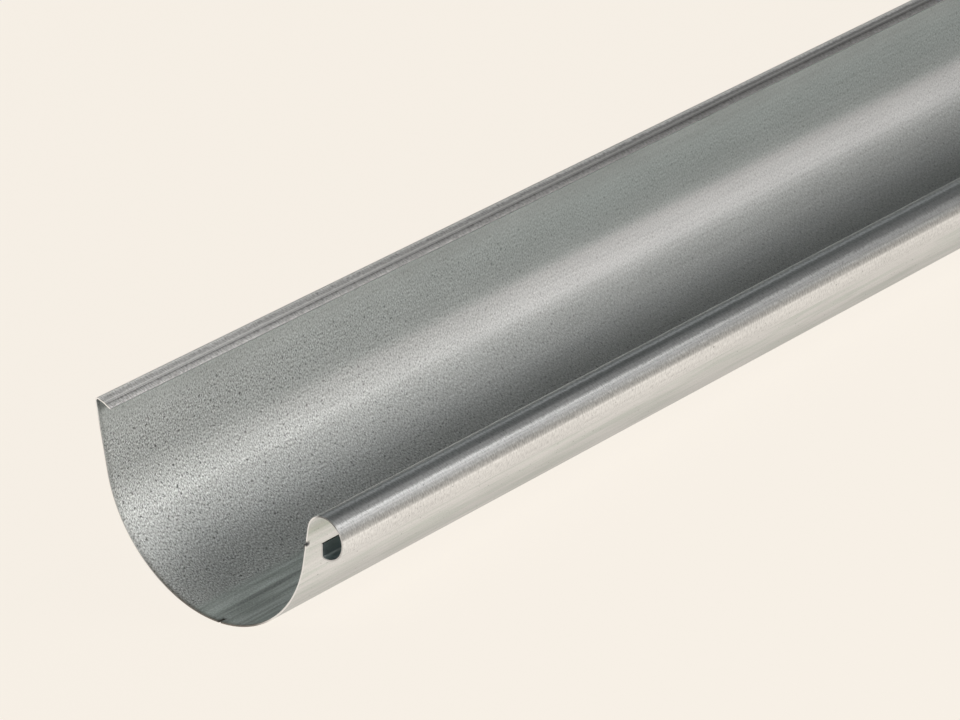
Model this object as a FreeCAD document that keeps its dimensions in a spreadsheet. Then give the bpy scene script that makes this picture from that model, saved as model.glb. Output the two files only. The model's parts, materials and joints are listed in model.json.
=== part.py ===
# Half-round eaves gutter, roll formed from one strip of galvanised sheet steel.
# The section has a half-round trough, straight leaning walls, a back edge folded in over the trough
# as a water check, and a hollow bead rolled outwards along the front edge.
# Millimetres. The section is drawn about the axis of the round trough, +X to the bead and +Z up, and
# runs along +Y. It is then leaned about Y to the attitude in which it lies still on a level floor.
import FreeCAD, Part

import math
import os

import Sketcher

doc = FreeCAD.newDocument("gutter_section")
XZ_TURN = FreeCAD.Rotation(FreeCAD.Vector(1, 0, 0), 90)

# Driving dimensions, in millimetres and degrees.
SIZES = [
    ("stock_length", 2000),
    ("sheet_gauge", 0.6),
    ("trough_radius", 52.5),
    ("back_wall", 29.3),
    ("back_lean", 10),
    ("hook_bend", 1),
    ("hook_turn", 114),
    ("hook_band", 3.2),
    ("crease_bend", 0.6),
    ("crease_drop_turn", 34),
    ("crease_back_turn", 28),
    ("hook_tip", 2.9),
    ("front_wall", 16.8),
    ("front_lean", 10),
    ("bead_radius", 9),
    ("bead_turn", 264),
    ("lip_bend", 1.4),
    ("lip_turn", 86),
    ("lip_length", 4.9),
    ("front_slit_width", 1.1),
    ("front_slit_depth", 1.8),
    ("front_slit_angle", -0.1),
    ("bottom_slit_width", 0.9),
    ("bottom_slit_depth", 2.6),
    ("bottom_slit_angle", -82.7),
]

sheet = doc.addObject("Spreadsheet::Sheet", "Sizes")
for row, (alias, value) in enumerate(SIZES, start=1):
    sheet.set(f"A{row}", alias)
    sheet.set(f"B{row}", str(value))
    sheet.setAlias(f"B{row}", alias)
doc.recompute()


class SheetLine:
    """Draws one branch of the sheet's inner face as lines and bends that run on tangentially."""

    def __init__(self, sketch, last, last_end, point, heading):
        self.sketch = sketch
        self.last = last
        self.last_end = last_end
        self.point = point
        self.heading = heading

    def _join(self, index, start_end, far_end, point, heading):
        self.sketch.addConstraint(Sketcher.Constraint("Tangent", self.last, self.last_end, index, start_end))
        self.last = index
        self.last_end = far_end
        self.point = point
        self.heading = heading

    def line(self, name, length_alias):
        length = sheet.get(length_alias)
        along = FreeCAD.Vector(math.cos(self.heading), math.sin(self.heading), 0)
        far = self.point + along * length
        index = self.sketch.addGeometry(Part.LineSegment(self.point, far), False)
        self._join(index, 1, 2, far, self.heading)
        bind(self.sketch, Sketcher.Constraint("Distance", index, length), name, f"Sizes.{length_alias}")

    def bend(self, name, radius_alias, turn_alias, side):
        """A bend of turn degrees, to the left of the run where side is 1 and to the right where it is -1."""
        radius = sheet.get(radius_alias)
        turn = math.radians(sheet.get(turn_alias))
        across = FreeCAD.Vector(-math.sin(self.heading), math.cos(self.heading), 0) * side
        centre = self.point + across * radius
        circle = Part.Circle(centre, FreeCAD.Vector(0, 0, 1), radius)
        near_angle = math.atan2(-across.y, -across.x)
        far_angle = near_angle + side * turn
        far = centre + FreeCAD.Vector(math.cos(far_angle), math.sin(far_angle), 0) * radius
        first, second = (near_angle, far_angle) if side > 0 else (far_angle, near_angle)
        index = self.sketch.addGeometry(Part.ArcOfCircle(circle, first, second), False)
        near_end, far_end = (1, 2) if side > 0 else (2, 1)
        self._join(index, near_end, far_end, far, self.heading + side * turn)
        bind(self.sketch, Sketcher.Constraint("Radius", index, radius), name + "_radius", f"Sizes.{radius_alias}")
        bind(self.sketch, Sketcher.Constraint("Angle", index, turn), name + "_turn", f"Sizes.{turn_alias} * 1 deg")


def bind(sketch, constraint, name, expression):
    """Adds a named dimension to the sketch and ties it to the sheet of sizes."""
    index = sketch.addConstraint(constraint)
    sketch.renameConstraint(index, name)
    sketch.setExpression(f"Constraints.{name}", expression)


def draw_inner_face():
    """The line of the sheet's inner face, from the free edge of the hook to the lip inside the bead."""
    sketch = doc.addObject("Sketcher::SketchObject", "InnerFace")
    sketch.Placement = FreeCAD.Placement(FreeCAD.Vector(0, 0, 0), XZ_TURN)
    radius = sheet.trough_radius
    back_angle = math.radians(180 + sheet.back_lean)
    front_angle = math.radians(360 - sheet.front_lean)
    circle = Part.Circle(FreeCAD.Vector(0, 0, 0), FreeCAD.Vector(0, 0, 1), radius)
    trough = sketch.addGeometry(Part.ArcOfCircle(circle, back_angle, front_angle), False)
    sketch.addConstraint(Sketcher.Constraint("Coincident", trough, 3, -1, 1))
    bind(sketch, Sketcher.Constraint("Radius", trough, radius), "trough_radius", "Sizes.trough_radius")

    back_start = FreeCAD.Vector(math.cos(back_angle), math.sin(back_angle), 0) * radius
    back = SheetLine(sketch, trough, 1, back_start, back_angle - math.pi / 2)
    back.line("back_wall", "back_wall")
    wall_angle = Sketcher.Constraint("Angle", back.last, back.heading)
    bind(sketch, wall_angle, "back_wall_angle", "(90 + Sizes.back_lean) * 1 deg")
    back.bend("hook", "hook_bend", "hook_turn", -1)
    back.line("hook_band", "hook_band")
    back.bend("crease_drop", "crease_bend", "crease_drop_turn", -1)
    back.bend("crease_back", "crease_bend", "crease_back_turn", 1)
    back.line("hook_tip", "hook_tip")

    front_start = FreeCAD.Vector(math.cos(front_angle), math.sin(front_angle), 0) * radius
    front = SheetLine(sketch, trough, 2, front_start, front_angle + math.pi / 2 - 2 * math.pi)
    front.line("front_wall", "front_wall")
    wall_angle = Sketcher.Constraint("Angle", front.last, front.heading)
    bind(sketch, wall_angle, "front_wall_angle", "(90 - Sizes.front_lean) * 1 deg")
    front.bend("bead", "bead_radius", "bead_turn", -1)
    front.bend("lip", "lip_bend", "lip_turn", -1)
    front.line("lip_length", "lip_length")
    return sketch


def end_slit(name, sizes):
    """A narrow cut into the near end's edge, square through the wall at an angle about the trough's axis."""
    slit = doc.addObject("Part::Box", name)
    slit.setExpression("Length", f"Sizes.{sizes}_width")
    slit.setExpression("Width", f"Sizes.{sizes}_depth")
    slit.setExpression("Height", "12 * Sizes.sheet_gauge")
    angle = math.radians(sheet.get(f"{sizes}_angle"))
    outwards = FreeCAD.Vector(math.cos(angle), 0, math.sin(angle))
    across = FreeCAD.Vector(math.sin(angle), 0, -math.cos(angle))
    foot = outwards * (sheet.trough_radius - 6 * sheet.sheet_gauge)
    foot -= across * sheet.get(f"{sizes}_width") / 2
    turn = FreeCAD.Rotation(across, FreeCAD.Vector(0, 1, 0), outwards, "ZXY")
    slit.Placement = FreeCAD.Placement(foot, turn)
    return slit


def cut(name, base, tool):
    result = doc.addObject("Part::Cut", name)
    result.Base = base
    result.Tool = tool
    return result


inner_face = draw_inner_face()

# The sheet lies outside the inner face all the way round.
section = doc.addObject("Part::Offset2D", "SheetSection")
section.Source = inner_face
section.Mode = "Skin"
section.Join = "Arc"
section.Fill = True
section.Value = -sheet.sheet_gauge
section.setExpression("Value", "-Sizes.sheet_gauge")

length = doc.addObject("Part::Extrusion", "StockLength")
length.Base = section
length.DirMode = "Custom"
length.Dir = FreeCAD.Vector(0, 1, 0)
length.Solid = True
length.setExpression("LengthFwd", "Sizes.stock_length")

# Handling damage in the cut edge of the near end: one slit in the front wall, one in the bottom.
front_slit = cut("FrontSlitCut", length, end_slit("FrontSlit", "front_slit"))
gutter = cut("GutterSection", front_slit, end_slit("BottomSlit", "bottom_slit"))
gutter.Label = "gutter_section"
doc.recompute()

# Unheld on a floor the round bottom rolls until the centre of mass is under the axis, bead side down.
# The origin is under the middle of the whole part, on the floor.
mass_centre = gutter.Shape.Solids[0].CenterOfMass
lean = math.degrees(math.atan2(mass_centre.x, -mass_centre.z))
lean_turn = FreeCAD.Rotation(FreeCAD.Vector(0, 1, 0), lean)
gutter.Placement = FreeCAD.Placement(FreeCAD.Vector(0, 0, 0), lean_turn)
box = gutter.Shape.optimalBoundingBox(False, False)
middle_bottom = FreeCAD.Vector((box.XMin + box.XMax) / 2, (box.YMin + box.YMax) / 2, box.ZMin)
gutter.Placement = FreeCAD.Placement(middle_bottom * -1, lean_turn)
doc.recompute()

strip_width = section.Shape.Area / sheet.sheet_gauge
print(f"strip width {strip_width:.1f} mm, lean {lean:.3f} degrees, axis at {gutter.Placement.Base}")
box = gutter.Shape.optimalBoundingBox(False, False)
print(f"box {box.XLength:.2f} x {box.YLength:.2f} x {box.ZLength:.2f} mm, from {box.XMin:.2f} {box.ZMin:.2f}")

for item in doc.Objects:
    if "Invalid" in item.State or "Error" in item.State:
        raise RuntimeError(f"{item.Label} failed: {item.State}")
for item in (section, length, front_slit, gutter):
    if item.Shape.isNull() or not item.Shape.isValid():
        raise RuntimeError(f"{item.Label} has no valid shape")
for before, after in ((length, front_slit), (front_slit, gutter)):
    if after.Shape.Volume >= before.Shape.Volume:
        raise RuntimeError(f"{after.Label} cut nothing")

os.makedirs("parts", exist_ok=True)
gutter.Shape.exportStep(f"parts/{gutter.Label}.step")
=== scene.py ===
import json
import math

import bmesh
import bpy
from mathutils import Matrix, Vector


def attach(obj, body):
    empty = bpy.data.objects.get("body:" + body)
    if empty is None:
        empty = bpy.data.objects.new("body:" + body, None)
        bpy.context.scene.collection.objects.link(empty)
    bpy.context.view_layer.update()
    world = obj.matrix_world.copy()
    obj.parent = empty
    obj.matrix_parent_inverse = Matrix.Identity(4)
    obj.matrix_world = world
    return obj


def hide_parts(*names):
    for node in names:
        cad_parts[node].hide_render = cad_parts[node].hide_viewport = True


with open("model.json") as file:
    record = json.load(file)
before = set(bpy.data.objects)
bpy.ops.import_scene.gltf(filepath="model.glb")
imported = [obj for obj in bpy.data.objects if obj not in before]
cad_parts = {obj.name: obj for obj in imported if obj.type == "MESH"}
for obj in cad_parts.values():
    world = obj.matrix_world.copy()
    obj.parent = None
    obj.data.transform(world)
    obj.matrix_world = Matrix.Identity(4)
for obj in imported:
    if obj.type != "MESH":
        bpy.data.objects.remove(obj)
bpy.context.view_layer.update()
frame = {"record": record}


# The gutter is one strip of galvanised steel, 0.6 mm thick, roll formed on its whole length: the back
# edge is folded in over the trough and creased, and the front edge is rolled outwards into a hollow
# bead whose free edge is tucked up inside it. Both ends are sawn square.
GAUGE = 0.0006
LENGTH = 2.0
TROUGH_RADIUS = 0.0525
TROUGH_STEPS_BACK, TROUGH_STEPS_FRONT = 60, 46
LEAN_OF_WALLS = math.radians(10)
BACK_WALL = 0.0293
# Each bend is given by its radius, turn in degrees, steps and the straight run after it.
BACK_BENDS = ((0.001, -114, 12, 0.0032), (0.0006, -34, 6, 0), (0.0006, 28, 6, 0.0029))
FRONT_BENDS = ((0.009, -264, 88, 0), (0.0014, -86, 14, 0.0049))
BEAD_CENTRE = (0.063483, 0.005866)
# The front wall is run in three lengths, and the middle one holds its nick.
FRONT_WALL_BELOW, FRONT_NICK_WIDTH, FRONT_WALL_ABOVE = 0.0085, 0.0011, 0.0072
FRONT_NICK_DEPTH = 0.0018
BOTTOM_NICK_ANGLE = math.radians(270 + 7.3)
BOTTOM_NICK_HALF_ANGLE = math.radians(0.49)
BOTTOM_NICK_DEPTH = 0.0026
BENT_IN = (-0.0016, 0.0007, -0.0016)
SAME_PLACE = 0.000001


def flat(strip, end, heading, length, way):
    """Runs the sheet straight on and returns its new end."""
    new = bmesh.ops.extrude_vert_indiv(strip, verts=[end])["verts"][0]
    new.co += Vector((math.cos(heading), 0, math.sin(heading))) * length
    new[rolled_out] = end[rolled_out] + way * length
    return new


def fold(strip, end, heading, radius, turn, way, steps):
    """Bends the sheet by turn radians, left where turn is positive, and returns its new end."""
    side = math.copysign(1, turn)
    centre = end.co + Vector((-math.sin(heading), 0, math.cos(heading))) * side * radius
    before = len(strip.verts)
    bmesh.ops.spin(strip, geom=[end], cent=centre, axis=(0, -1, 0), dvec=(0, 0, 0), angle=turn, steps=steps,
                   use_merge=False, use_normal_flip=False, use_duplicate=False)
    strip.verts.ensure_lookup_table()
    for step, new in enumerate(strip.verts[before:], start=1):
        new[rolled_out] = end[rolled_out] + way * radius * abs(turn) * step / steps
    return strip.verts[-1]


def bent_on(strip, end, heading, bends, way):
    """Runs the sheet through a row of bends and returns its new end."""
    for radius, degrees, steps, length in bends:
        turn = math.radians(degrees)
        end = fold(strip, end, heading, radius, turn, way, steps)
        heading += turn
        if length:
            end = flat(strip, end, heading, length, way)
    return end


gutter = bmesh.new()
rolled_out = gutter.verts.layers.float.new("rolled_out")
back_angle = math.pi + LEAN_OF_WALLS
brow = gutter.verts.new((TROUGH_RADIUS * math.cos(back_angle), 0, TROUGH_RADIUS * math.sin(back_angle)))

heading = math.pi / 2 + LEAN_OF_WALLS
end = flat(gutter, brow, heading, BACK_WALL, -1)
bent_on(gutter, end, heading, BACK_BENDS, -1)

# The trough's arc is laid in three runs, so that the nick in the bottom edge has a place of its own.
nick = BOTTOM_NICK_ANGLE - back_angle
nick_half = BOTTOM_NICK_HALF_ANGLE
after_nick = math.pi - 2 * LEAN_OF_WALLS - nick - nick_half
heading = back_angle + math.pi / 2
end = brow
for turn, steps in ((nick - nick_half, TROUGH_STEPS_BACK), (2 * nick_half, 1), (after_nick, TROUGH_STEPS_FRONT)):
    end = fold(gutter, end, heading, TROUGH_RADIUS, turn, 1, steps)
    heading += turn
bottom_nick = (TROUGH_RADIUS * (nick - nick_half), TROUGH_RADIUS * (nick + nick_half), BOTTOM_NICK_DEPTH)
nick_start = end[rolled_out] + FRONT_WALL_BELOW
front_nick = (nick_start, nick_start + FRONT_NICK_WIDTH, FRONT_NICK_DEPTH)
for length in (FRONT_WALL_BELOW, FRONT_NICK_WIDTH, FRONT_WALL_ABOVE):
    end = flat(gutter, end, heading, length, 1)
bent_on(gutter, end, heading, FRONT_BENDS, 1)

edge_line = gutter.edges[:]
for place in (FRONT_NICK_DEPTH, BOTTOM_NICK_DEPTH, 0.05, 0.5, 1.0, 1.5, LENGTH):
    grown = bmesh.ops.extrude_edge_only(gutter, edges=edge_line)["geom"]
    for vert in grown:
        if isinstance(vert, bmesh.types.BMVert):
            vert.co.y = place
    edge_line = [line for line in grown if isinstance(line, bmesh.types.BMEdge)]

# Two handling nicks in the near end's edge: the bottom one is torn out, the front one's metal is bent in.
torn, bent = [], []
for face in gutter.faces:
    place_across = sum(vert[rolled_out] for vert in face.verts) / len(face.verts)
    place_along = face.calc_center_median().y
    for (low, high, depth), nicked_faces in ((bottom_nick, torn), (front_nick, bent)):
        if low < place_across < high and place_along < depth:
            nicked_faces.append(face)
bmesh.ops.delete(gutter, geom=torn, context="FACES")
tab = bmesh.ops.split(gutter, geom=bent, use_only_faces=True)["geom"]
tab_end = [part for part in tab if isinstance(part, bmesh.types.BMVert) and part.co.y < SAME_PLACE]
bmesh.ops.translate(gutter, verts=tab_end, vec=BENT_IN)
bmesh.ops.remove_doubles(gutter, verts=gutter.verts[:], dist=SAME_PLACE)

# The inner face looks up at the trough's bottom, and the sheet's thickness goes on outside it.
bmesh.ops.recalc_face_normals(gutter, faces=gutter.faces[:])
lowest = min(gutter.faces, key=lambda face: face.calc_center_median().z)
if lowest.normal.z < 0:
    bmesh.ops.reverse_faces(gutter, faces=gutter.faces[:])
inner_faces = set(gutter.faces)
bmesh.ops.solidify(gutter, geom=gutter.faces[:], thickness=GAUGE)
bmesh.ops.remove_doubles(gutter, verts=gutter.verts[:], dist=2 * SAME_PLACE)
bmesh.ops.recalc_face_normals(gutter, faces=gutter.faces[:])

unrolled = gutter.loops.layers.uv.new("unrolled")
INSIDE, OUTSIDE, CUT = 0, 1, 2
for face in gutter.faces:
    widths = [vert[rolled_out] for vert in face.verts]
    cut = abs(face.normal.y) > 0.5 or max(widths) - min(widths) < SAME_PLACE
    face.material_index = CUT if cut else (INSIDE if face in inner_faces else OUTSIDE)
    face.smooth = not cut
    for loop in face.loops:
        loop[unrolled].uv = (loop.vert[rolled_out], loop.vert.co.y)
for line in gutter.edges:
    line.smooth = not any(face.material_index == CUT for face in line.link_faces)

# It lies on its round bottom, leaned as far as the part's mounts say.
mounts = {mount["name"]: Vector(mount["pos_m"]) for mount in frame["record"]["mounts"]}
axis_point = mounts["lap_seat"]
to_bead = mounts["front_bead"] - axis_point
lean = math.atan2(BEAD_CENTRE[1], BEAD_CENTRE[0]) - math.atan2(to_bead.z, to_bead.x)
to_floor = Matrix.Translation((axis_point.x, -LENGTH / 2, axis_point.z)) @ Matrix.Rotation(lean, 4, "Y")
bmesh.ops.transform(gutter, matrix=to_floor, verts=gutter.verts[:])

sheet_mesh = bpy.data.meshes.new("gutter_sheet")
gutter.to_mesh(sheet_mesh)
gutter.free()
sheet = bpy.data.objects.new("gutter_sheet", sheet_mesh)
bpy.context.scene.collection.objects.link(sheet)


# The zinc coat is matt and finely grained, with darker specks, and the rolls have left faint lines in
# it along the length. They have pressed the bead and the outside smoother and brighter, and drawn the
# grain out across the bends.
def grey(level, cool=0.0):
    """A grey, turned towards green and blue by cool."""
    return (level * (1 - cool), level, level * (1 - cool / 3))


def graded(tree, value, *stops):
    """A ramp over value, each of whose stops has a place and a colour or a level of grey."""
    ramp = tree.nodes.new("ShaderNodeValToRGB")
    while len(ramp.color_ramp.elements) < len(stops):
        ramp.color_ramp.elements.new(0.5)
    for element, (place, colour) in zip(ramp.color_ramp.elements, stops):
        element.position = place
        element.color = (*(colour if isinstance(colour, tuple) else grey(colour)), 1)
    tree.links.new(value, ramp.inputs["Fac"])
    return ramp.outputs["Color"]


def blended(tree, how, first, second):
    """Two colours blended all the way: returns the mix node."""
    mix = tree.nodes.new("ShaderNodeMix")
    mix.data_type = "RGBA"
    mix.blend_type = how
    mix.inputs["Factor"].default_value = 1
    tree.links.new(first, mix.inputs["A"])
    tree.links.new(second, mix.inputs["B"])
    return mix


def darkened(tree, colour, tone):
    return blended(tree, "MULTIPLY", colour, tone).outputs["Result"]


def lighter_of(tree, first, second):
    return blended(tree, "LIGHTEN", first, second).outputs["Result"]


def mixed(tree, first, second, amount):
    """Goes from the first colour to the second where amount goes from 0 to 1."""
    mix = blended(tree, "MIX", first, second)
    tree.links.new(amount, mix.inputs["Factor"])
    return mix.outputs["Result"]


def on_strip(tree):
    """The place on the unrolled strip, which a node group is given and a material reads from its UV map."""
    if "Group Input" in tree.nodes:
        return tree.nodes["Group Input"].outputs["Unrolled"]
    place = tree.nodes.new("ShaderNodeUVMap")
    place.uv_map = "unrolled"
    return place.outputs["UV"]


def placed(tree, way, low, high, stops):
    """A ramp over one way of the unrolled strip, from low to high in millimetres."""
    apart = tree.nodes.new("ShaderNodeSeparateXYZ")
    span = tree.nodes.new("ShaderNodeMapRange")
    span.inputs["From Min"].default_value = low / 1000
    span.inputs["From Max"].default_value = high / 1000
    tree.links.new(on_strip(tree), apart.inputs[0])
    tree.links.new(apart.outputs[way], span.inputs["Value"])
    return graded(tree, span.outputs["Result"], *[((at - low) / (high - low), colour) for at, colour in stops])


def across(tree, *stops):
    """A ramp across the strip, its stops in millimetres from the trough's back end."""
    return placed(tree, "X", -40, 210, stops)


def along(tree, *stops):
    """A ramp along the strip, its stops in millimetres from the near end."""
    return placed(tree, "Y", 0, 500, stops)


def effect(name, inputs, outputs):
    """A node group with named sockets: returns it, its input node's outputs and its output node's inputs."""
    group = bpy.data.node_groups.new(name, "ShaderNodeTree")
    for way, sockets in (("INPUT", inputs), ("OUTPUT", outputs)):
        for socket, kind in sockets:
            group.interface.new_socket(name=socket, in_out=way, socket_type="NodeSocket" + kind)
    taken = group.nodes.new("NodeGroupInput")
    given = group.nodes.new("NodeGroupOutput")
    return group, taken.outputs, given.inputs


def placed_effect(tree, group):
    """Places a node group in a material and gives it the unrolled strip."""
    node = tree.nodes.new("ShaderNodeGroup")
    node.node_tree = group
    tree.links.new(on_strip(tree), node.inputs["Unrolled"])
    return node


# Each pattern of the coat has its stretch across and along the strip, scale, detail and roughness.
PATTERNS = {
    "Grain": ((0.8, 1.6, 1), 1350, 3, 0.75),
    "Specks": ((1, 1.1, 1), 700, 1, 0.4),
    "Drawn grain": ((0.5, 1.4, 1), 1150, 2, 0.65),
    "Clouds": ((1, 0.4, 1), 60, 3, 0.55),
    "Scuffs": ((1, 0.07, 1), 260, 3, 0.6),
    "Roll lines": ((1, 0.004, 1), 900, 2, 0.6),
}
made = [(name, "Float") for name in PATTERNS] + [("Ticks", "Color"), ("Tone", "Color"), ("Normal", "Vector")]
zinc_coat, taken, given = effect("zinc_coat", [("Unrolled", "Vector"), ("Drawn out", "Float")], made)
pattern = {}
for name, (stretch, scale, detail, rough) in PATTERNS.items():
    spread = zinc_coat.nodes.new("ShaderNodeVectorMath")
    spread.operation = "MULTIPLY"
    spread.inputs[1].default_value = stretch
    noise = zinc_coat.nodes.new("ShaderNodeTexNoise")
    noise.inputs["Scale"].default_value = scale
    noise.inputs["Detail"].default_value = detail
    noise.inputs["Roughness"].default_value = rough
    zinc_coat.links.new(taken["Unrolled"], spread.inputs[0])
    zinc_coat.links.new(spread.outputs[0], noise.inputs["Vector"])
    zinc_coat.links.new(noise.outputs["Fac"], given[name])
    pattern[name] = noise.outputs["Fac"]
zinc_coat.links.new(graded(zinc_coat, pattern["Specks"], (0.24, 0.6), (0.28, 1)), given["Ticks"])
clouds = graded(zinc_coat, pattern["Clouds"], (0.3, 0.93), (0.7, 1))
roll_lines = graded(zinc_coat, pattern["Roll lines"], (0.3, 0.92), (0.6, 1))
zinc_coat.links.new(darkened(zinc_coat, clouds, roll_lines), given["Tone"])
relief = zinc_coat.nodes.new("ShaderNodeBump")
relief.inputs["Strength"].default_value = 0.2
relief.inputs["Distance"].default_value = 0.0002
height = mixed(zinc_coat, pattern["Grain"], pattern["Drawn grain"], taken["Drawn out"])
zinc_coat.links.new(height, relief.inputs["Height"])
zinc_coat.links.new(relief.outputs["Normal"], given["Normal"])


def zinc(name, *drawn_out):
    """A galvanised face, its grain drawn out by stops across the strip: returns its material, tree and coat."""
    material = bpy.data.materials.new(name)
    material.use_nodes = True
    tree = material.node_tree
    coat = placed_effect(tree, zinc_coat)
    tree.links.new(across(tree, *drawn_out), coat.inputs["Drawn out"])
    tree.links.new(coat.outputs["Normal"], tree.nodes["Principled BSDF"].inputs["Normal"])
    return material, tree, coat.outputs


# The steel is painted black round the two nicks in its near end, on both faces and in the cut, as the shade in and
# behind them.
nicked_edge, taken, given = effect("nicked_edge", [("Unrolled", "Vector"), ("Colour", "Color")],
                                   [("Colour", "Color")])
bottom = lighter_of(nicked_edge, across(nicked_edge, (78.9, 1), (79.3, 0.02), (80.8, 0.02), (81.2, 1)),
                    along(nicked_edge, (2.4, 0.02), (3, 1)))
front = lighter_of(nicked_edge, across(nicked_edge, (154.8, 1), (155.1, 0.02), (156.3, 0.02), (156.6, 1)),
                   along(nicked_edge, (1.7, 0.02), (1.85, 1)))
nick_shade = darkened(nicked_edge, taken["Colour"], darkened(nicked_edge, bottom, front))
nicked_edge.links.new(nick_shade, given["Colour"])


def nicked(tree, colour):
    edge = placed_effect(tree, nicked_edge)
    tree.links.new(colour, edge.inputs["Colour"])
    return edge.outputs["Colour"]


# The trough's face is matt zinc, and a lane along its bottom is scuffed smooth; lanes of painted highlight and
# painted shade lie along it. The bead, which is the same face of the sheet, is burnished, with a painted highlight
# line, bands of painted shade for the dark surroundings it reflects, and painted shade towards the far end.
ON_BEAD = ((158, 0), (168, 1))
inside, tree, coat = zinc("zinc_inside", *ON_BEAD)
matt = graded(tree, coat["Grain"], (0.38, grey(0.14, 0.05)), (0.5, grey(0.66, 0.03)), (0.62, grey(1, 0.02)))
matt = darkened(tree, matt, graded(tree, coat["Specks"], (0.29, 0.25), (0.34, 1)))
# Painted light: a painted highlight along the back wall's foot, 8 to 17 mm across, with painted shade below it where
# the bead shades the trough, laid on more towards the far end.
painted_light_lanes = across(tree, (-25, (0.48, 0.52, 0.51)), (-15, (0.5, 0.565, 0.555)), (-5, (0.47, 0.525, 0.515)),
               (3.5, (0.53, 0.57, 0.56)), (8, grey(0.9, -0.02)), (17, grey(0.92, -0.02)), (21, 0.74),
               (26, grey(0.62, 0.02)), (42, grey(0.53, 0.02)), (52, grey(0.33, 0.02)))
matt = mixed(tree, matt, painted_light_lanes, along(tree, (40, 0), (280, 0.62)))
drawn = graded(tree, coat["Drawn grain"], (0.38, 0.88), (0.62, 1.06))
matt = darkened(tree, matt, lighter_of(tree, drawn, across(tree, (20, 1), (30, 0))))
scuffed = graded(tree, coat["Scuffs"], (0.36, grey(0.46, 0.1)), (0.5, grey(0.76, 0.1)), (0.64, grey(1, 0.08)))
scuffed = darkened(tree, scuffed, graded(tree, coat["Grain"], (0.4, 0.7), (0.6, 1)))
scrapes = across(tree, (72.6, 0.8), (73.8, 1), (74.6, 1), (75.6, 0.64), (78, 0.68), (79.5, 0.8), (84, 0.8),
                 (84.8, 1), (86.2, 0.66), (88, 0.8))
scuffed = darkened(tree, scuffed, scrapes)
matt = mixed(tree, matt, scuffed, across(tree, (64, 0), (68, 0.85), (112, 0.85), (118, 0)))
calm = graded(tree, coat["Clouds"], (0.3, grey(0.56, 0.05)), (0.7, grey(0.66, 0.05)))
matt = mixed(tree, matt, calm, across(tree, (-25, 0.65), (-12, 0)))
end_rim = lighter_of(tree, along(tree, (1, (0.44, 0.42, 0.39)), (2, 1)), across(tree, (30, 0.8), (60, 0)))
matt = darkened(tree, matt, end_rim)

burnished_and_highlit = graded(tree, coat["Drawn grain"], (0.35, 0.75), (0.5, 0.92), (0.62, 1))
# Painted shade: the bead darkens towards the far end.
burnished_and_highlit = darkened(tree, burnished_and_highlit, along(tree, (40, 1), (350, 0.91)))
# A painted highlight line along the bead.
bright_line = across(tree, (182.9, 0), (183.5, 0.96), (184.3, 0.96), (184.7, 0))
burnished_and_highlit = lighter_of(tree, burnished_and_highlit, bright_line)
burnished_and_highlit = darkened(tree, burnished_and_highlit, coat["Ticks"])
# Painted shade: bands across the bead's top and middle stand for the dark surroundings it reflects.
bead_shade = graded(tree, coat["Drawn grain"], (0.38, 0.22), (0.5, 0.4), (0.62, 0.6))
even_bead_shade = graded(tree, coat["Drawn grain"], (0.36, grey(0.31, 0.01)), (0.5, grey(0.39, 0.01)), (0.64, 0.48))
bead_shade = mixed(tree, bead_shade, even_bead_shade, across(tree, (182, 0), (184, 0.85)))
painted_shade_bands = across(tree, (167, 0.9), (172.5, 0.7), (175.5, 0.45), (177.2, 0.45), (178.4, 0), (180.6, 0),
                    (181.4, 0.4), (182.4, 0.12), (183.2, 0), (184.2, 0), (184.75, 1), (187.3, 1), (188.2, 0))
# A painted shade line along the bead, which deepens towards the far end.
dark_line = lighter_of(tree, across(tree, (175.8, 1), (176.8, 0.62), (178.2, 0.62), (179, 1)),
                       along(tree, (60, 1), (350, 0)))
bead = darkened(tree, mixed(tree, burnished_and_highlit, bead_shade, painted_shade_bands), dark_line)
colour = darkened(tree, mixed(tree, matt, bead, across(tree, *ON_BEAD)), coat["Tone"])
shader = tree.nodes["Principled BSDF"]
tree.links.new(nicked(tree, colour), shader.inputs["Base Color"])
tree.links.new(across(tree, (158, 0.8), (168, 1)), shader.inputs["Metallic"])
tree.links.new(across(tree, (158, 0.45), (168, 0.32)), shader.inputs["Roughness"])


# The outside is burnished, with painted shade towards its bottom and a grey-green painted shade near the end where
# it turns into the roll, and it is a little darker towards the far end. The folded back edge shows it as well, as
# matt as the trough, with a painted shade line along its crease, painted highlight lines beside it and on its outer
# bend, and painted shade that deepens towards the far end. So does the inside of the roll, painted dark as shade.
ON_FOLD = ((-29.6, 1), (-28, 0))
outside, tree, coat = zinc("zinc_outside", *ON_FOLD)
colour = graded(tree, coat["Grain"], (0.35, 0.86), (0.5, 0.94), (0.62, 1))
colour = darkened(tree, colour, graded(tree, coat["Scuffs"], (0.4, (0.86, 0.9, 0.87)), (0.58, 1)))
# Painted shade near the end, grey-green, where the front wall curves up under the roll.
roll_turn_shade = lighter_of(tree, across(tree, (158, 1), (161.8, (0.8, 0.83, 0.77)), (164.5, 1)),
                   along(tree, (9, 0), (16, 1)))
colour = darkened(tree, colour, roll_turn_shade)
colour = darkened(tree, colour, coat["Ticks"])
colour = darkened(tree, colour, along(tree, (30, 1), (330, 0.94)))

folded = graded(tree, coat["Drawn grain"], (0.36, 0.45), (0.5, 0.76), (0.62, 1))
# A painted shade line along the crease, where the step faces away from the light.
crease = across(tree, (-38, 0.92), (-36.2, 0.8), (-35.2, 0.34), (-34.8, 0.15), (-34.6, 0.2), (-34.5, 1),
                (-33.9, 1), (-33.6, 0.8), (-31.5, 0.8), (-31, 1))
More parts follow.
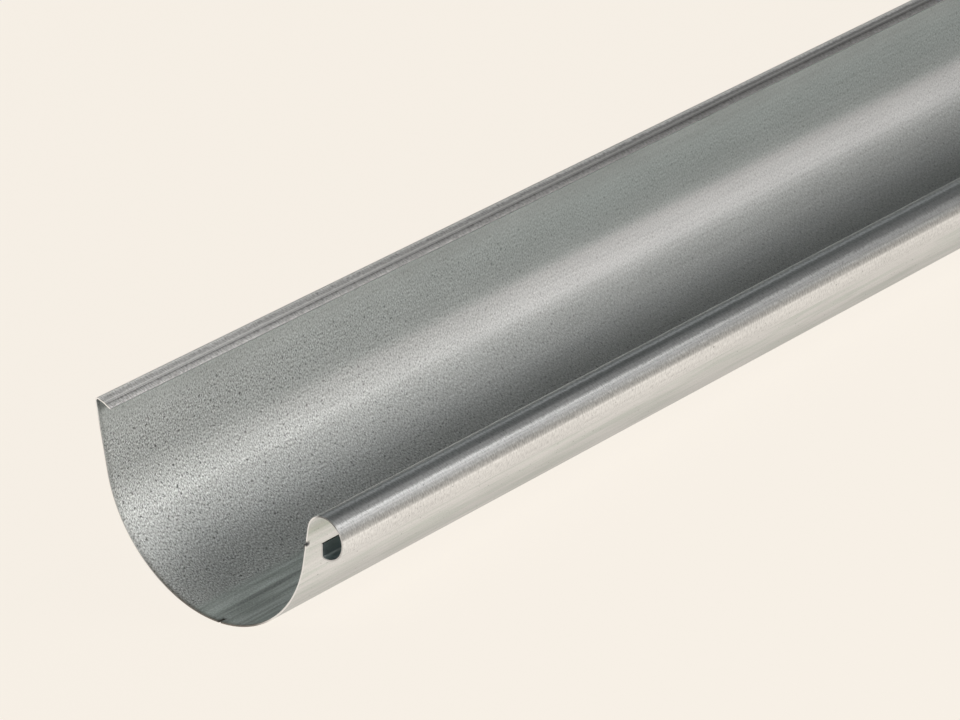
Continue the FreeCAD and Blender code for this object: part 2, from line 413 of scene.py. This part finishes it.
# Painted highlight lines beside the crease and on the outer bend.
painted_highlight_lines = across(tree, (-34.6, 0), (-34.45, 0.95), (-34.1, 0.95), (-33.9, 0), (-31.5, 0), (-31.1, (0.98, 0.96, 0.92)))
folded = lighter_of(tree, darkened(tree, folded, crease), painted_highlight_lines)
# Painted shade that deepens towards the far end, less on the highlight lines and the outer bend.
painted_far_shade = lighter_of(tree, along(tree, (30, 1), (350, 0.42)),
                      across(tree, (-34.6, 0), (-34.45, 0.48), (-34.1, 0.48), (-33.9, 0.18), (-33, 0.05),
                             (-32.3, 0.8), (-31.1, 0.82)))
colour = mixed(tree, colour, darkened(tree, folded, painted_far_shade), across(tree, *ON_FOLD))
# Painted shade: darker towards the trough's bottom, where it reflects the gutter's shadow on the floor, and dark
# bluish grey on the tucked edge inside the roll.
painted_outside_shade = across(tree, (60, 0.85), (118, 0.75), (124, 0.79), (132, 0.93), (140, 1), (183, 1),
                   (189, (0.55, 0.61, 0.64)))
colour = darkened(tree, darkened(tree, colour, painted_outside_shade), coat["Tone"])
shader = tree.nodes["Principled BSDF"]
tree.links.new(nicked(tree, colour), shader.inputs["Base Color"])
metal = across(tree, (-37.8, 0), (-37.3, 0.4), (-31.6, 0.4), (-31.1, 0), (-29.8, 0), (-28.5, 1))
tree.links.new(metal, shader.inputs["Metallic"])
shader.inputs["Roughness"].default_value = 0.38


# The cut ends show bare steel, painted by place for light and shade: light on the flange tip and the front wall,
# brown-grey painted shade on the lower edge, and dark painted shade in the roll.
SHADED_BROWN = (0.22, 0.2, 0.18)
cut_steel = bpy.data.materials.new("cut_steel")
cut_steel.use_nodes = True
tree = cut_steel.node_tree
shader = tree.nodes["Principled BSDF"]
colour = across(tree, (-26, 1), (-18, 0.5), (30, 0.5), (60, SHADED_BROWN), (100, SHADED_BROWN), (112, 0.92), (170, 0.92),
                (173, 0.22), (182, 0.22), (184, 0.6))
# Painted shade: the tucked edge inside the roll is near black close to the near end.
roll_edge_shade = lighter_of(tree, along(tree, (0.1, 1), (0.5, 0.02), (20, 0.02), (60, 1)),
                     across(tree, (100, 1), (110, 0)))
tree.links.new(nicked(tree, darkened(tree, colour, roll_edge_shade)), shader.inputs["Base Color"])
shader.inputs["Metallic"].default_value = 1.0
shader.inputs["Roughness"].default_value = 0.3

for material in (inside, outside, cut_steel):
    sheet_mesh.materials.append(material)
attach(sheet, "root")
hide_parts("gutter_section")


# A plain cream studio floor. The camera sees its own colour, and beside the gutter a twentieth of what the camera
# sees is lit by the lamps, which keeps the gutter's shadow. The sheet's reflections see its colour a little dimmed,
# with a painted contact shadow where ambient occlusion darkens it near the gutter.
CREAM = (0.930, 0.871, 0.791)
BESIDE_GUTTER, BEYOND_ENDS = 1.2, 2.2
floor_mesh = bpy.data.meshes.new("studio_floor")
ground = bmesh.new()
bmesh.ops.create_grid(ground, x_segments=1, y_segments=1, size=60)
ground.to_mesh(floor_mesh)
ground.free()
studio_floor = bpy.data.objects.new("studio_floor", floor_mesh)
bpy.context.scene.collection.objects.link(studio_floor)

cream_floor = bpy.data.materials.new("cream_floor")
cream_floor.use_nodes = True
tree = cream_floor.node_tree
for node in list(tree.nodes):
    tree.nodes.remove(node)
painted = tree.nodes.new("ShaderNodeBsdfDiffuse")
painted.inputs["Color"].default_value = (*CREAM, 1)
glow = tree.nodes.new("ShaderNodeEmission")
glow.inputs["Color"].default_value = (*CREAM, 1)
path = tree.nodes.new("ShaderNodeLightPath")
# Painted shadow: ambient occlusion darkens the glow that reflections see near the gutter.
nearby = tree.nodes.new("ShaderNodeAmbientOcclusion")
nearby.inputs["Distance"].default_value = 0.05
shaded = tree.nodes.new("ShaderNodeMapRange")
shaded.inputs["To Min"].default_value = 0.78
shaded.inputs["To Max"].default_value = 0.95
tree.links.new(nearby.outputs["AO"], shaded.inputs["Value"])
spot = tree.nodes.new("ShaderNodeTexCoord")
distance = tree.nodes.new("ShaderNodeVectorMath")
distance.operation = "LENGTH"
tree.links.new(spot.outputs["Object"], distance.inputs[0])


def by_distance(tree, near, far):
    """A number that goes from near, beside the gutter, to far, beyond its ends."""
    span = tree.nodes.new("ShaderNodeMapRange")
    span.inputs["From Min"].default_value = BESIDE_GUTTER
    span.inputs["From Max"].default_value = BEYOND_ENDS
    span.inputs["To Min"].default_value = near
    span.inputs["To Max"].default_value = far
    tree.links.new(distance.outputs["Value"], span.inputs["Value"])
    return span.outputs["Result"]


brightness = tree.nodes.new("ShaderNodeMix")
tree.links.new(path.outputs["Is Camera Ray"], brightness.inputs["Factor"])
tree.links.new(shaded.outputs["Result"], brightness.inputs["A"])
tree.links.new(by_distance(tree, 1.03, 1.0), brightness.inputs["B"])
tree.links.new(brightness.outputs["Result"], glow.inputs["Strength"])
share = tree.nodes.new("ShaderNodeMath")
share.operation = "MULTIPLY_ADD"
share.use_clamp = True
tree.links.new(path.outputs["Is Camera Ray"], share.inputs[0])
tree.links.new(by_distance(tree, 0.95, 1.0), share.inputs[1])
tree.links.new(path.outputs["Is Glossy Ray"], share.inputs[2])
blend = tree.nodes.new("ShaderNodeMixShader")
surface = tree.nodes.new("ShaderNodeOutputMaterial")
tree.links.new(share.outputs[0], blend.inputs["Fac"])
tree.links.new(painted.outputs[0], blend.inputs[1])
tree.links.new(glow.outputs[0], blend.inputs[2])
tree.links.new(blend.outputs[0], surface.inputs["Surface"])
floor_mesh.materials.append(cream_floor)


# The room is dim and cool, so that the metal has dark surroundings to reflect. Long softboxes lie along
# the gutter and light its bead, its trough's bottom and its back wall as lanes.
DIM = 0.06
WARM, SOFT, COOL = (1.0, 0.97, 0.93), (1.0, 0.99, 0.97), (0.95, 1.0, 1.0)
room = bpy.data.worlds.new("studio_room")
room.use_nodes = True
room.node_tree.nodes["Background"].inputs["Color"].default_value = (0.92, 1.0, 0.99, 1)
room.node_tree.nodes["Background"].inputs["Strength"].default_value = DIM
bpy.context.scene.world = room


def softbox(name, place, aim, width, length, power, colour):
    """A long soft lamp that lies along the gutter and is turned to aim."""
    lamp = bpy.data.lights.new(name, "AREA")
    lamp.shape = "RECTANGLE"
    lamp.size = width
    lamp.size_y = length
    lamp.energy = power
    lamp.color = colour
    held = bpy.data.objects.new(name, lamp)
    bpy.context.scene.collection.objects.link(held)
    backwards = (Vector(place) - Vector(aim)).normalized()
    sideways = Vector((0, 1, 0)).cross(backwards).normalized()
    long_way = backwards.cross(sideways)
    held.visible_camera = False
    held.matrix_world = Matrix.Translation(place) @ Matrix((sideways, long_way, backwards)).transposed().to_4x4()


softbox("low_key", (2.918, -1.22, 0.3586), (0, -0.6, 0.045), 0.5, 1.2, 80, WARM)
softbox("end_softbox", (1.496, -3.192, 0.254), (0, -0.6, 0.045), 0.356, 1.2, 35, SOFT)
softbox("far_softbox", (2.454, 1.118, 0.202), (0, -0.6, 0.045), 0.267, 1.2, 2.1, SOFT)
softbox("low_side_softbox", (1.4266, -0.5, 0.5085), (0, -0.5, 0.045), 0.3, 2.0, 1.4, SOFT)
softbox("side_softbox", (1.182, -0.5, 0.9685), (0, -0.5, 0.045), 0.3, 2.0, 3.7, SOFT)
softbox("high_side_softbox", (0.6576, -0.5, 1.3932), (0, -0.5, 0.045), 0.3, 2.0, 0.66, SOFT)
softbox("top_softbox", (-0.2605, 1.55, 1.522), (0, 1.55, 0.045), 0.5, 2.1, 0.74, COOL)
softbox("back_softbox", (-0.8604, 0.55, 1.2737), (0, 0.55, 0.045), 0.55, 4.1, 2.6, COOL)


# The camera stands to the right of the near end and looks down along the gutter.
camera_data = bpy.data.cameras.new("camera")
camera_data.sensor_width = 36
camera_data.lens = 206.015
camera_data.clip_end = 200
camera = bpy.data.objects.new("camera", camera_data)
bpy.context.scene.collection.objects.link(camera)
back = Vector((0.72586759, -0.64929429, 0.22700919))
right = Vector((0.68760522, 0.67644804, -0.26385054))
turn = Matrix((right, back.cross(right), back)).transposed().to_4x4()
camera.matrix_world = Matrix.Translation((1.55868, -2.2496, 0.541079)) @ turn
bpy.context.scene.camera = camera

bpy.context.scene.view_settings.view_transform = "Standard"
